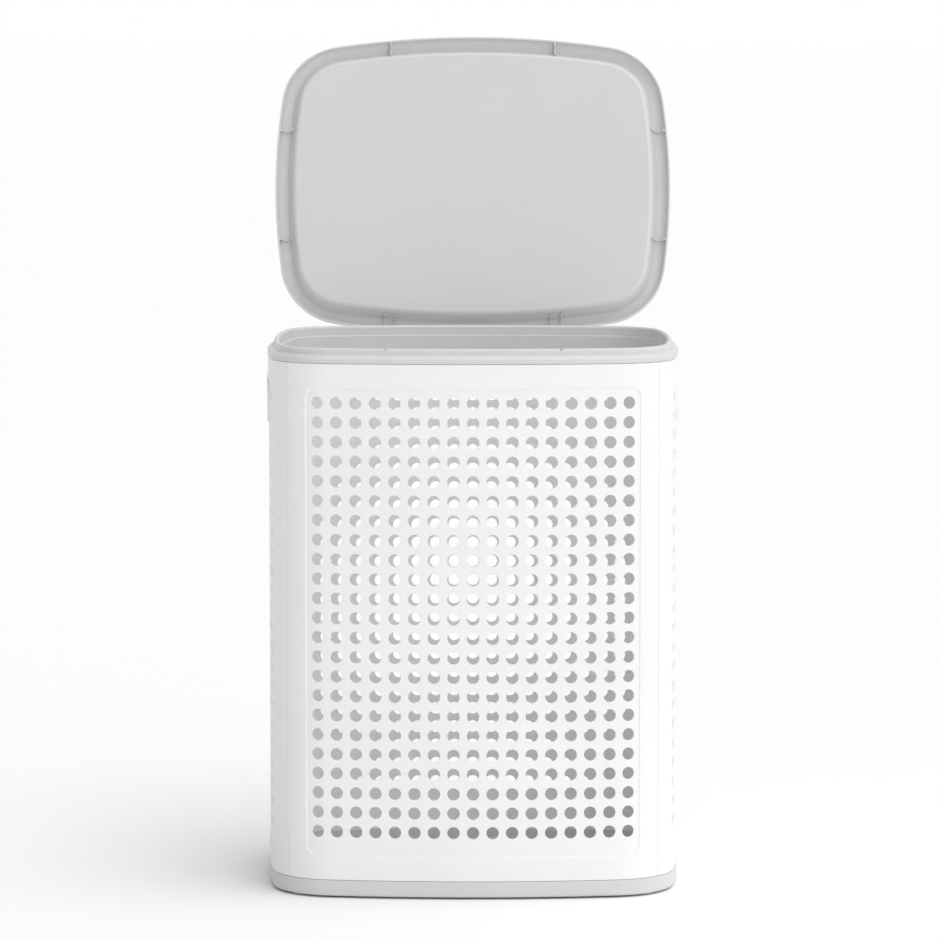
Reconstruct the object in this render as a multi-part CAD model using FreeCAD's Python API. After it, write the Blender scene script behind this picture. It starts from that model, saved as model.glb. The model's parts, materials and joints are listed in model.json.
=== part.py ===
import FreeCAD, Part
import math
import os
from FreeCAD import Vector

# Knock-down laundry hamper: a base tray, four perforated wall panels, a top collar and a
# hinged lid. Millimetres. The origin is on the floor, under the middle of the body. The
# front faces -Y, the lid's hinge is at +Y, and +Z is up. Plan sections are given by their
# inset, the distance inwards from the outline of the body.

# ---- Driving dimensions ----
body_width = 440.0
body_depth = 344.0
front_bow_radius = 1000.0      # gentle bow of the front and rear walls
side_bow_radius = 700.0        # gentle bow of the side walls
corner_radius = 72.0
seam_angle = 41.0              # corner seams, measured round each corner from the X axis

foot_height = 2.0              # how far the feet stand out under the base band
foot_diameter = 13.0
foot_pocket_depth = 1.0
foot_margin = 0.2              # from the band's rounded edge to a foot's pocket
foot_angle = 48.0              # round each corner from the X axis
foot_chamfer = 0.5
foot_boss_wall = 1.5

base_band_height = 17.0
base_edge_radius = 3.0
base_floor_thickness = 2.5
base_floor_lift = 3.0          # hollow under the floor plate
base_rib_thickness = 2.0
base_rib_rise = 0.4            # the ribs end this far above the band's lower face
base_ribs_across = 5
base_ribs_along = 3

panel_height = 545.6           # visible wall, from the base seam to the collar seam
panel_thickness = 2.8
panel_flange_height = 4.5
panel_inset = 0.4              # the walls lie just inside the band and the collar
seam_gap = 0.4                 # visible joint lines
tongue_thickness = 2.4
fit_clearance = 0.3            # round tongues, laps and pockets
lap_thickness = 1.8
lap_reach = 8.0                # how far a side panel's lap runs behind the front panel
lap_root = 4.0                 # how far the lap is joined to its own wall
lap_end_gap = 0.5              # to the flanges at the top and the bottom of the walls

hole_diameter = 13.0
hole_pitch = 20.6
hole_bottom_margin = 50.0      # least height of the bottom row over the wall's lower edge
field_seam_margin = 26.5       # least distance from a corner seam to the perforated field
field_depth = 1.0              # the perforated fields are slightly sunk
field_margin_side = 11.8       # from the outer hole centres to the field's side edges
field_margin_top = 16.3
field_margin_bottom = 26.0
field_corner_radius = 12.0
top_row_drop = 41.4            # from the collar seam down to the top row of holes

grip_width = 96.0              # hand holes in the side walls
grip_height = 33.0
grip_corner_radius = 12.0
grip_rim_width = 8.0
grip_rim_height = 1.1
grip_drop = 48.4               # from the collar seam down to the middle of the hand hole
grip_hole_margin = 1.0         # least wall between the grip's rim and a vent hole
grip_return_depth = 9.0
grip_return_thickness = 2.2

band_wall = 2.6                # outer wall of the base band and of the collar
channel_wall = 2.4
collar_band_height = 4.4
shoulder_radius = 4.5
lip_inset = 7.0
lip_width = 5.6
lip_height = 6.6               # above the shoulder
collar_skirt_depth = 17.6      # below the ledge inside the lip
collar_skirt_thickness = 2.0
collar_ledge_drop = 4.3        # from the shoulder down to the ledge inside the lip
collar_ledge_thickness = 1.6
collar_channel_depth = 6.2     # above the collar seam
collar_channel_drop = 5.0      # the channel's inner wall reaches this far below the seam
notch_width = 2.6
notch_depth = 2.4

lid_thickness = 2.2
lid_rim_gap = 0.6              # from the collar's shoulder to the rim's lower edge
lid_edge_radius = 9.0
lid_lip_gap = 3.0              # from the lip to the underside of the lid's flange
lid_flange_clearance = 1.4     # from the inside of the lip to the step inside the flange
lid_plateau_depth = 16.0       # how far the plateau hangs below the flange
lid_step_run = 7.0             # plan width of the step's slope
lid_step_radius = 3.5
lid_plateau_radius = 5.5
lid_plate_inset = 30.0         # the plateau's flat plate takes over from the moulded edge
rib_thickness = 1.6
rib_seat_gap = 0.4             # the ribs come to rest this far above the lip
rib_inner_drop = 8.0           # the ribs hang deeper inside the lip
rib_shoulder_gap = 0.6         # from the inside of the lip to the deeper part of a rib
rib_shoulder_run = 2.0
rib_overlap = 0.8              # how far the ribs run into the shell that carries them
rib_spacing_front = 184.0
rib_spacing_side = 126.0

hinge_spacing = 184.0          # between the middles of the two hinges
hinge_behind = 3.0             # the axis lies this far behind the body
hinge_height = 3.5             # and this far above the collar seam
ear_spacing = 12.0             # between the two ears of a hinge
ear_thickness = 1.8
ear_radius = 4.8
ear_play = 0.4                 # between an ear and the lug that it straddles
pin_diameter = 4.0
pin_fit = 0.06                 # radial play of the pin
pin_head_diameter = 6.6
pin_head_thickness = 1.2
pin_tail = 1.4
lug_radius = 4.4
lug_root = 2.0                 # how far the lug runs into the collar's band
stop_gap = 0.35                # from the open lid's rim to the stop nose of the lug
stop_start = 5.0               # the nose's upper face, measured along the rim from the axis
stop_end = 9.5
stop_thickness = 3.0
lid_open_angle = 109.0

# ---- Derived levels and insets ----
band_bottom = foot_height
band_top = band_bottom + base_band_height
floor_bottom = band_bottom + base_floor_lift
floor_top = floor_bottom + base_floor_thickness
panel_bottom = band_top + seam_gap
collar_bottom = panel_bottom + panel_height + seam_gap
panel_top = collar_bottom - seam_gap
shoulder_top = collar_bottom + collar_band_height + shoulder_radius
lip_top = shoulder_top + lip_height
ledge_z = shoulder_top - collar_ledge_drop
lip_inner = lip_inset + lip_width
skirt_inner = lip_inner + collar_skirt_thickness
flange_under = lip_top + lid_lip_gap
lid_top = flange_under + lid_thickness
lid_flange_width = lip_inner + lid_flange_clearance
rim_bottom = shoulder_top + lid_rim_gap
plateau_under = flange_under - lid_plateau_depth
channel_top = collar_bottom + collar_channel_depth
rib_seat = lip_top + rib_seat_gap

panel_inner = panel_inset + panel_thickness
tongue_outer = band_wall + fit_clearance
tongue_inner = tongue_outer + tongue_thickness
channel_inner = tongue_inner + fit_clearance
channel_back = channel_inner + channel_wall

top_row_z = collar_bottom - top_row_drop
hole_rows = 1 + math.floor((top_row_z - panel_bottom - hole_bottom_margin) / hole_pitch)
bottom_row_z = top_row_z - (hole_rows - 1) * hole_pitch
field_top = top_row_z + field_margin_top
field_bottom = bottom_row_z - field_margin_bottom
grip_z = collar_bottom - grip_drop

hinge_y = body_depth / 2 + hinge_behind
hinge_z = collar_bottom + hinge_height
hinge_centre = Vector(0, hinge_y, hinge_z)
x_axis = Vector(1, 0, 0)
z_axis = Vector(0, 0, 1)
origin = Vector(0, 0, 0)


# ---- Plan outline: eight tangent arcs, as (centre x, centre y, radius, start, end) ----
def corner_centre():
    """Centre of the corner arc that is tangent to the front bow and to the side bow."""
    front_y = front_bow_radius - body_depth / 2
    side_x = body_width / 2 - side_bow_radius
    to_front = front_bow_radius - corner_radius
    to_side = side_bow_radius - corner_radius
    span = math.hypot(side_x, front_y)
    along = (to_front**2 - to_side**2 + span**2) / (2 * span)
    across = math.sqrt(to_front**2 - along**2)
    ux = side_x / span
    uy = -front_y / span
    return along * ux - across * uy, front_y + along * uy + across * ux


corner_x, corner_y = corner_centre()
front_centre = front_bow_radius - body_depth / 2
side_centre = side_bow_radius - body_width / 2
front_half_angle = math.degrees(math.atan2(corner_x, front_centre - corner_y))
side_half_angle = math.degrees(math.atan2(-corner_y, corner_x + side_centre))


def corner_arc(quadrant, start, end):
    """Stretch of a corner arc, between two angles that are measured from the X axis."""
    side_x = 1 if quadrant in (1, 4) else -1
    side_y = 1 if quadrant in (1, 2) else -1
    turn = {1: (start, end), 2: (180 - end, 180 - start), 3: (180 + start, 180 + end),
            4: (-end, -start)}[quadrant]
    return side_x * corner_x, -side_y * corner_y, corner_radius, turn[0], turn[1]


front_arc = (0, front_centre, front_bow_radius, -90 - front_half_angle, -90 + front_half_angle)
rear_arc = (0, -front_centre, front_bow_radius, 90 - front_half_angle, 90 + front_half_angle)
right_arc = (-side_centre, 0, side_bow_radius, -side_half_angle, side_half_angle)
left_arc = (side_centre, 0, side_bow_radius, 180 - side_half_angle, 180 + side_half_angle)
corner_start = side_half_angle
corner_end = 90 - front_half_angle
corners = {q: corner_arc(q, corner_start, corner_end) for q in (1, 2, 3, 4)}
full_outline = [front_arc, corners[4], right_arc, corners[1], rear_arc, corners[2], left_arc, corners[3]]


def arc_point(arc, angle, inset, z):
    radius = arc[2] - inset
    turn = math.radians(angle)
    return Vector(arc[0] + radius * math.cos(turn), arc[1] + radius * math.sin(turn), z)


def outline_wire(inset, z):
    edges = []
    for arc in full_outline:
        middle = (arc[3] + arc[4]) / 2
        points = [arc_point(arc, angle, inset, z) for angle in (arc[3], middle, arc[4])]
        edges.append(Part.Arc(*points).toShape())
    return Part.Wire(edges)


def plate(inset, bottom, top):
    return Part.Face(outline_wire(inset, bottom)).extrude(Vector(0, 0, top - bottom))


def fuse(shapes):
    """One solid from shapes that share faces or overlap."""
    joined = shapes[0].multiFuse(shapes[1:]) if len(shapes) > 1 else shapes[0]
    joined = joined.removeSplitter()
    return joined.Solids[0] if len(joined.Solids) == 1 else joined


def section_edges(steps, arc, angle):
    """Edges of a closed section. A step is a corner (inset, z), or an arc through one point
    to another, as (inset, z, end inset, end z)."""
    edges = []
    current = arc_point(arc, angle, *steps[0])
    first = current
    for step in steps[1:]:
        target = arc_point(arc, angle, *step[-2:])
        if len(step) == 4:
            edges.append(Part.Arc(current, arc_point(arc, angle, *step[:2]), target).toShape())
        else:
            edges.append(Part.makeLine(current, target))
        current = target
    edges.append(Part.makeLine(current, first))
    return edges


def sweep(steps, arcs):
    """Section carried along a run of outline arcs."""
    pieces = []
    for arc in arcs:
        face = Part.Face(Part.Wire(section_edges(steps, arc, arc[3])))
        pieces.append(face.revolve(Vector(arc[0], arc[1], 0), z_axis, arc[4] - arc[3]))
    return fuse(pieces)


def rectangle(outer, inner, bottom, top):
    return [(outer, bottom), (inner, bottom), (inner, top), (outer, top)]


def quarter(centre_inset, centre_z, radius, from_angle, to_angle):
    """Arc step of a section, about a centre, between two angles (0 points to the inside)."""
    def at(angle):
        turn = math.radians(angle)
        return centre_inset + radius * math.cos(turn), centre_z + radius * math.sin(turn)
    return at((from_angle + to_angle) / 2) + at(to_angle)


def hole_columns(front):
    """As many columns of vent holes as the front, or the right, wall has room for."""
    if front:
        to_corner = math.radians(front_half_angle) * front_bow_radius
        round_corner = math.radians(corner_end - seam_angle) * corner_radius
    else:
        to_corner = math.radians(side_half_angle) * side_bow_radius
        round_corner = math.radians(seam_angle - corner_start) * corner_radius
    room = to_corner + round_corner - field_seam_margin - field_margin_side
    return 1 + math.floor(2 * room / hole_pitch)


def along_wall(front, distance):
    """Outline point and outward direction, at a distance along the front or the right wall
    from its middle, measured on the outline."""
    arc = front_arc if front else right_arc
    half = front_half_angle if front else side_half_angle
    middle = -90 if front else 0
    reach = math.radians(half) * arc[2]
    side = 1 if distance > 0 else -1
    if abs(distance) <= reach:
        angle = middle + math.degrees(distance / arc[2])
        return arc_point(arc, angle, 0, 0), angle
    beyond = math.degrees((abs(distance) - reach) / corner_radius)
    if front:
        corner = corners[4] if side > 0 else corners[3]
    else:
        corner = corners[1] if side > 0 else corners[4]
    angle = middle + side * (half + beyond)
    return arc_point(corner, angle, 0, 0), angle


def rounded_slab(width, height, radius, centre_z, front):
    """Slab with rounded corners that stands across the front (or the right) wall."""
    x = width / 2 - radius
    z = height / 2 - radius
    centres = [(x, z, 0), (-x, z, 90), (-x, -z, 180), (x, -z, 270)]
    edges = []
    rounds = []
    for cx, cz, start in centres:
        rounds.append([(cx + radius * math.cos(math.radians(start + turn)),
                        cz + radius * math.sin(math.radians(start + turn))) for turn in (0, 45, 90)])
    for index, points in enumerate(rounds):
        a, b, c = [Vector(px, 0, centre_z + pz) for px, pz in points]
        following = rounds[(index + 1) % 4][0]
        edges.append(Part.Arc(a, b, c).toShape())
        edges.append(Part.makeLine(c, Vector(following[0], 0, centre_z + following[1])))
    face = Part.Face(Part.Wire(edges))
    reach = (body_depth if front else body_width) / 2
    slab = face.extrude(Vector(0, -2 * corner_radius, 0))
    slab.translate(Vector(0, corner_radius - reach, 0))
    if not front:
        slab.rotate(origin, z_axis, 90)
    return slab


def rounded_section(corners_with_radii):
    """Section steps of a closed polygon, given as (inset, z, rounding radius) corners."""
    steps = []
    count = len(corners_with_radii)
    for index, (inset, z, radius) in enumerate(corners_with_radii):
        if radius == 0:
            steps.append((inset, z))
            continue
        before = corners_with_radii[index - 1]
        after = corners_with_radii[(index + 1) % count]
        corner = Vector(inset, z, 0)
        back = (Vector(before[0], before[1], 0) - corner).normalize()
        ahead = (Vector(after[0], after[1], 0) - corner).normalize()
        half = back.getAngle(ahead) / 2
        start = corner + back * (radius / math.tan(half))
        end = corner + ahead * (radius / math.tan(half))
        inwards = (back + ahead).normalize()
        middle = corner + inwards * (radius / math.sin(half) - radius)
        steps.append((start.x, start.y))
        steps.append((middle.x, middle.y, end.x, end.y))
    return steps


# ---- Base tray and feet ----
def foot_places():
    turn = math.radians(foot_angle)
    pocket_radius = foot_diameter / 2 + fit_clearance
    reach = corner_radius - base_edge_radius - foot_margin - pocket_radius
    x = corner_x + reach * math.cos(turn)
    y = -corner_y + reach * math.sin(turn)
    return [("front_left", -x, -y), ("front_right", x, -y), ("rear_left", -x, y), ("rear_right", x, y)]


def make_base_tray():
    edge = base_edge_radius
    inner_wall_top = band_top - seam_gap
    section = [(0, band_top), (0, band_bottom + edge),
               quarter(edge, band_bottom + edge, edge, 180, 270),
               (channel_back, band_bottom), (channel_back, inner_wall_top),
               (channel_inner, inner_wall_top), (channel_inner, floor_bottom),
               (band_wall, floor_bottom), (band_wall, band_top)]
    pieces = [sweep(section, full_outline), plate(channel_inner, floor_bottom, floor_top)]
    rib_bottom = band_bottom + base_rib_rise
    inside = plate(channel_inner, rib_bottom, floor_bottom)
    for index in range(base_ribs_across):
        x = body_width * ((index + 1) / (base_ribs_across + 1) - 0.5)
        rib = Part.makeBox(base_rib_thickness, body_depth, base_floor_lift,
                           Vector(x - base_rib_thickness / 2, -body_depth / 2, rib_bottom))
        pieces.append(rib.common(inside))
    for index in range(base_ribs_along):
        y = body_depth * ((index + 1) / (base_ribs_along + 1) - 0.5)
        rib = Part.makeBox(body_width, base_rib_thickness, base_floor_lift,
                           Vector(-body_width / 2, y - base_rib_thickness / 2, rib_bottom))
        pieces.append(rib.common(inside))
    boss_radius = foot_diameter / 2 + fit_clearance + foot_boss_wall
    boss_limit = plate(base_edge_radius, band_bottom, floor_bottom)
    for name, x, y in foot_places():
        boss = Part.makeCylinder(boss_radius, base_floor_lift, Vector(x, y, band_bottom))
        pieces.append(boss.common(boss_limit))
    tray = fuse(pieces)
    for name, x, y in foot_places():
        pocket_radius = foot_diameter / 2 + fit_clearance
        tray = tray.cut(Part.makeCylinder(pocket_radius, foot_pocket_depth, Vector(x, y, band_bottom)))
    return tray


def make_foot(x, y):
    foot = Part.makeCylinder(foot_diameter / 2, foot_height + foot_pocket_depth, Vector(x, y, 0))
    rim = [edge for edge in foot.Edges if edge.BoundBox.ZMax < foot_chamfer / 2]
    return foot.makeChamfer(foot_chamfer, rim)


# ---- Wall panels ----
seam_half = math.degrees(seam_gap / 2 / corner_radius)
before_seam = (corner_start, seam_angle - seam_half)
after_seam = (seam_angle + seam_half, corner_end)
front_run = [corner_arc(3, *after_seam), front_arc, corner_arc(4, *after_seam)]
right_run = [corner_arc(4, *before_seam), right_arc, corner_arc(1, *before_seam)]


def wall_section():
    """Wall with a flange and a tongue at its lower and at its upper edge."""
    flange_low = panel_bottom + panel_flange_height
    flange_high = panel_top - panel_flange_height
    tongue_low = floor_bottom + fit_clearance
    tongue_high = channel_top - fit_clearance
    return [(panel_inset, panel_bottom), (panel_inset, panel_top), (tongue_outer, panel_top),
            (tongue_outer, tongue_high), (tongue_inner, tongue_high), (tongue_inner, flange_high),
            (panel_inner, flange_high), (panel_inner, flange_low), (tongue_inner, flange_low),
            (tongue_inner, tongue_low), (tongue_outer, tongue_low), (tongue_outer, panel_bottom)]


def vent_drills(front, blocked_half_width=0, blocked_bottom=0):
    """Drills square to the wall. Holes that would run into the grip are left out."""
    outside = panel_thickness
    length = panel_inner + 2 * outside
    columns = hole_columns(front)
    drills = []
    for column in range(columns):
        distance = (column - (columns - 1) / 2) * hole_pitch
        point, angle = along_wall(front, distance)
        outward = Vector(math.cos(math.radians(angle)), math.sin(math.radians(angle)), 0)
        for row in range(hole_rows):
            z = top_row_z - row * hole_pitch
            beside = abs(distance) - hole_diameter / 2 > blocked_half_width
            below = z + hole_diameter / 2 < blocked_bottom
            if blocked_half_width and not beside and not below:
                continue
            start = point + outward * outside + Vector(0, 0, z)
            drills.append(Part.makeCylinder(hole_diameter / 2, length, start, -outward))
    return Part.makeCompound(drills)


def sunk_field(front, run):
    """Shallow field of the wall that holds the vent holes."""
    outer_hole = along_wall(front, (hole_columns(front) - 1) / 2 * hole_pitch)[0]
    half_width = (outer_hole.x if front else outer_hole.y) + field_margin_side
    slab = rounded_slab(2 * half_width, field_top - field_bottom, field_corner_radius,
                        (field_top + field_bottom) / 2, front)
    skin = sweep(rectangle(-panel_thickness, panel_inset + field_depth, panel_bottom, panel_top), run)
    return slab.common(skin)


def make_front_panel():
    wall = sweep(wall_section(), front_run)
    wall = wall.cut(sunk_field(True, front_run))
    return wall.cut(vent_drills(True))


def seam_lap(quadrant):
    """Strip of a side wall that runs on behind the front or the rear wall."""
    outer = panel_inner + fit_clearance
    inner = outer + lap_thickness
    low = panel_bottom + panel_flange_height + lap_end_gap
    high = panel_top - panel_flange_height - lap_end_gap
    joined_from = before_seam[1] - math.degrees(lap_root / corner_radius)
    reach_to = seam_angle + math.degrees(lap_reach / corner_radius)
    root = sweep(rectangle(panel_inner - fit_clearance, inner, low, high),
                 [corner_arc(quadrant, joined_from, before_seam[1])])
    tip = sweep(rectangle(outer, inner, low, high), [corner_arc(quadrant, joined_from, reach_to)])
    return root, tip


def make_right_panel():
    rim = 2 * grip_rim_width
    back = 2 * grip_return_thickness
    hole = rounded_slab(grip_width, grip_height, grip_corner_radius, grip_z, False)
    rim_slab = rounded_slab(grip_width + rim, grip_height + rim, grip_corner_radius + rim / 2,
                            grip_z, False)
    return_slab = rounded_slab(grip_width + back, grip_height + back, grip_corner_radius + back / 2,
                               grip_z, False)
    wall = sweep(wall_section(), right_run)
    wall = wall.cut(sunk_field(False, right_run))
    rim_skin = sweep(rectangle(panel_inset - grip_rim_height, panel_inner, panel_bottom, panel_top),
                     [right_arc])
    return_skin = sweep(rectangle(panel_inset + field_depth, panel_inner + grip_return_depth,
                                  panel_bottom, panel_top), [right_arc])
    pieces = [wall, rim_slab.common(rim_skin), return_slab.common(return_skin)]
    for quadrant in (1, 4):
        pieces.extend(seam_lap(quadrant))
    wall = fuse(pieces).cut(hole)
    blocked_half = grip_width / 2 + grip_rim_width + grip_hole_margin
    blocked_bottom = grip_z - grip_height / 2 - grip_rim_width
    return wall.cut(vent_drills(False, blocked_half, blocked_bottom))


def turned(shape):
    """The same piece on the opposite side of the hamper."""
    copy = shape.copy()
    copy.rotate(origin, z_axis, 180)
    return copy


# ---- Top collar, with the hinge lugs ----
def rear_surface(x, inset):
    return math.sqrt((front_bow_radius - inset)**2 - x**2) - front_centre


def side_surface(y, inset):
    return math.sqrt((side_bow_radius - inset)**2 - y**2) - side_centre


def slab_in_x(points, x, thickness):
    """Plate of a (y, z) outline, centred on x."""
    wire = Part.makePolygon([Vector(x - thickness / 2, y, z) for y, z in points + points[:1]])
    return Part.Face(wire).extrude(Vector(thickness, 0, 0))


def disc_in_x(radius, x, thickness):
    return Part.makeCylinder(radius, thickness, Vector(x - thickness / 2, hinge_y, hinge_z), x_axis)


def make_lug(x):
    """Lug that carries a hinge pin. Its nose stops the rim of the lid when the lid is open."""
    width = ear_spacing - ear_thickness - 2 * ear_play
    root_y = rear_surface(x, lug_root)
    top = hinge_z + lug_radius
    web = [(root_y, collar_bottom), (hinge_y, collar_bottom), (hinge_y, top), (root_y, top)]
    lean = math.radians(lid_open_angle - 90)
    rim_distance = hinge_y - rear_surface(abs(x) - width / 2, 0) - stop_gap

    def under_rim(along, depth):
        height = rim_distance - depth
        return (hinge_y + height * math.sin(lean) + along * math.cos(lean),
                hinge_z + height * math.cos(lean) - along * math.sin(lean))

    nose = [(hinge_y, hinge_z), under_rim(stop_start, 0), under_rim(stop_end, 0),
            under_rim(stop_end, stop_thickness), (hinge_y, hinge_z - lug_radius / 2)]
    return [slab_in_x(web, x, width), slab_in_x(nose, x, width), disc_in_x(lug_radius, x, width)]


def make_collar():
    round_z = lip_top - lip_width / 2
    under = ledge_z - collar_ledge_thickness
    channel_low = collar_bottom - collar_channel_drop
    skirt_low = ledge_z - collar_skirt_depth
    section = [(0, collar_bottom), (0, collar_bottom + collar_band_height),
               quarter(shoulder_radius, collar_bottom + collar_band_height, shoulder_radius, 180, 90),
               (lip_inset, shoulder_top), (lip_inset, round_z),
               quarter(lip_inset + lip_width / 2, round_z, lip_width / 2, 180, 0),
               (lip_inner, ledge_z), (skirt_inner, ledge_z), (skirt_inner, skirt_low),
               (lip_inner, skirt_low), (lip_inner, under), (channel_back, under),
               (channel_back, channel_low), (channel_inner, channel_low),
               (channel_inner, channel_top), (band_wall, channel_top), (band_wall, collar_bottom)]
    pieces = [sweep(section, full_outline)]
    for side in (-1, 1):
        pieces.extend(make_lug(side * hinge_spacing / 2))
    collar = fuse(pieces)
    for side in (-1, 1):
        x = side * rib_spacing_front / 2
        notch = Part.makeBox(notch_width, 2 * lip_inner, lip_height,
                             Vector(x - notch_width / 2, -body_depth / 2, lip_top - notch_depth))
        bore = disc_in_x(pin_diameter / 2 + pin_fit, side * hinge_spacing / 2, 2 * ear_spacing)
        collar = collar.cut(notch).cut(bore)
    return collar


def make_pin(side):
    """Hinge pin with its head on the outer side."""
    inner = hinge_spacing / 2 - ear_spacing / 2 - ear_thickness / 2 - pin_tail
    outer = hinge_spacing / 2 + ear_spacing / 2 + ear_thickness / 2 + fit_clearance
    shank = Part.makeCylinder(pin_diameter / 2, outer - inner, Vector(inner, hinge_y, hinge_z), x_axis)
    head = Part.makeCylinder(pin_head_diameter / 2, pin_head_thickness,
                             Vector(outer, hinge_y, hinge_z), x_axis)
    pin = shank.fuse(head).removeSplitter()
    if side < 0:
        pin = pin.mirror(origin, x_axis)
    return pin


# ---- Lid, drawn closed and then swung open ----
def rib_outline(seat):
    """Rib under the flange, as (inset, z): it steps down inside the lip."""
    step = lip_inner + rib_shoulder_gap
    deep = seat - rib_inner_drop
    top = flange_under + rib_overlap
    slope = lid_step_run / lid_plateau_depth
    wall_at_deep = lid_flange_width + (flange_under - deep) * slope
    return [(rib_overlap, top), (rib_overlap, seat), (step, seat), (step + rib_shoulder_run, deep),
            (wall_at_deep + rib_overlap, deep), (lid_flange_width + rib_overlap, top)]


def cross_rib(x, seat, rear=False):
    """Rib that crosses the front or the rear edge of the lid."""
    side = 1 if rear else -1
    points = [(side * rear_surface(x, inset), z) for inset, z in rib_outline(seat)]
    return slab_in_x(points, x, ear_thickness if rear else rib_thickness)


def side_rib(side, y):
    points = [Vector(side * side_surface(y, inset), y - rib_thickness / 2, z)
              for inset, z in rib_outline(rib_seat)]
    return Part.Face(Part.makePolygon(points + points[:1])).extrude(Vector(0, rib_thickness, 0))


def make_ear(x):
    """Arm that reaches down behind the collar to the hinge axis."""
    root = rear_surface(x, lid_thickness / 2)
    surface = rear_surface(x, 0)
    top = lid_top - lid_thickness
    arm = [(root, rim_bottom), (hinge_y - ear_radius, rim_bottom - fit_clearance),
           (hinge_y - ear_radius, hinge_z), (hinge_y + ear_radius, hinge_z),
           (hinge_y + ear_radius, rim_bottom), (surface, top), (root, top)]
    return [slab_in_x(arm, x, ear_thickness), disc_in_x(ear_radius, x, ear_thickness)]


def make_lid():
    slope = lid_step_run / lid_plateau_depth
    wall_run = lid_thickness * math.hypot(1, slope)
    plateau_top = plateau_under + lid_thickness
    step_inset = lid_flange_width + lid_step_run
    upper_start = lid_flange_width + wall_run - lid_thickness * slope
    upper_end = upper_start + (lid_top - plateau_top) * slope
    inner_edge = lid_edge_radius - lid_thickness
    tip = lid_thickness / 3
    section = rounded_section([
        (0, rim_bottom, tip), (0, lid_top, lid_edge_radius),
        (upper_start, lid_top, lid_step_radius), (upper_end, plateau_top, lid_step_radius),
        (lid_plate_inset, plateau_top, 0), (lid_plate_inset, plateau_under, 0),
        (step_inset, plateau_under, lid_plateau_radius), (lid_flange_width, flange_under, lid_step_radius),
        (lid_thickness, flange_under, inner_edge), (lid_thickness, rim_bottom, tip)])
    pieces = [sweep(section, full_outline), plate(lid_plate_inset, plateau_under, plateau_top)]
    front_seat = rib_seat - notch_depth
    for side in (-1, 1):
        pieces.append(cross_rib(side * rib_spacing_front / 2, front_seat))
        for end in (-1, 1):
            pieces.append(side_rib(side, end * rib_spacing_side / 2))
            ear_x = side * hinge_spacing / 2 + end * ear_spacing / 2
            pieces.append(cross_rib(ear_x, rib_seat, rear=True))
            pieces.extend(make_ear(ear_x))
    lid = fuse(pieces)
    for side in (-1, 1):
        lid = lid.cut(disc_in_x(pin_diameter / 2 + pin_fit, side * hinge_spacing / 2, 2 * ear_spacing))
    lid.rotate(hinge_centre, x_axis, -lid_open_angle)
    return lid


# ---- All pieces ----
def make_all():
    pieces = {"base_tray": make_base_tray()}
    for name, x, y in foot_places():
        pieces["foot_" + name] = make_foot(x, y)
    pieces["front_panel"] = make_front_panel()
    pieces["rear_panel"] = turned(pieces["front_panel"])
    pieces["right_side_panel"] = make_right_panel()
    pieces["left_side_panel"] = turned(pieces["right_side_panel"])
    pieces["top_collar"] = make_collar()
    pieces["hinge_pin_right"] = make_pin(1)
    pieces["hinge_pin_left"] = make_pin(-1)
    pieces["lid"] = make_lid()
    return pieces


os.makedirs("parts", exist_ok=True)
for node, shape in make_all().items():
    box = shape.BoundBox
    print(node, "valid" if shape.isValid() else "NOT VALID", len(shape.Solids), "solid",
          "volume %.0f" % shape.Volume,
          "x %.2f..%.2f y %.2f..%.2f z %.2f..%.2f" % (box.XMin, box.XMax, box.YMin, box.YMax,
                                                       box.ZMin, box.ZMax))
    shape.exportStep("parts/" + node + ".step")
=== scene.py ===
import json
import math

import bmesh
import bpy
import numpy as np
from mathutils import Matrix, Vector
from mathutils.geometry import delaunay_2d_cdt


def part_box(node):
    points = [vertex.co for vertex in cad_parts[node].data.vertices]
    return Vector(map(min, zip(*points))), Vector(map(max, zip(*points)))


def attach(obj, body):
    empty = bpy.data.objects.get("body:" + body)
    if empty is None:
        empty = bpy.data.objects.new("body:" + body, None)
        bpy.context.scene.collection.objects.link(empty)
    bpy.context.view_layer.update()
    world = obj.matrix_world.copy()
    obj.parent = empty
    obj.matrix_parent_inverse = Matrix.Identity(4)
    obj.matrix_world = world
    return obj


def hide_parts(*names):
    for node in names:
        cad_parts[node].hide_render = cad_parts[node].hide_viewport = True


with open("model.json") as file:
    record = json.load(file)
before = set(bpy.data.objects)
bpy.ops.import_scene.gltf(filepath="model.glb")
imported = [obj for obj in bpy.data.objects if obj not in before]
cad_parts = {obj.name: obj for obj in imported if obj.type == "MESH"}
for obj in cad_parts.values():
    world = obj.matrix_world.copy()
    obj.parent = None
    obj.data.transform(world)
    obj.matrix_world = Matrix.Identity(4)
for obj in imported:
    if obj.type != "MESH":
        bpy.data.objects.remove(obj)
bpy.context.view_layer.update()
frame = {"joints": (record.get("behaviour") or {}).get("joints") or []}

# Laundry hamper with a perforated body and a hinged lid. Millimetres throughout, in the
# frame of the CAD model; points turn into metres when a mesh is made. "Inset" is the
# distance inwards from the plan outline of the body.

MM = 0.001


def node_box(node):
    low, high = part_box(node)
    return low / MM, high / MM


# ---- Sizes from the frame ----
tray_low, tray_high = node_box("base_tray")
collar_low, collar_high = node_box("top_collar")
side_low, side_high = node_box("right_side_panel")
hinge = Vector(frame["joints"][0]["pos_m"]) / MM
lid_open_angle = math.radians(frame["joints"][0]["range_deg"][1])
half_width = tray_high.x
half_depth = tray_high.y

# ---- Plan outline ----
front_bow_radius = 1000.0
side_bow_radius = 700.0
corner_radius = 72.0
seam_angle = math.radians(41.0)        # corner seams, measured round a corner from the X axis
seam_gap = 0.4
front_stations = 47                    # stations of the sections along each arc
side_stations = 36
corner_stations = 30

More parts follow.
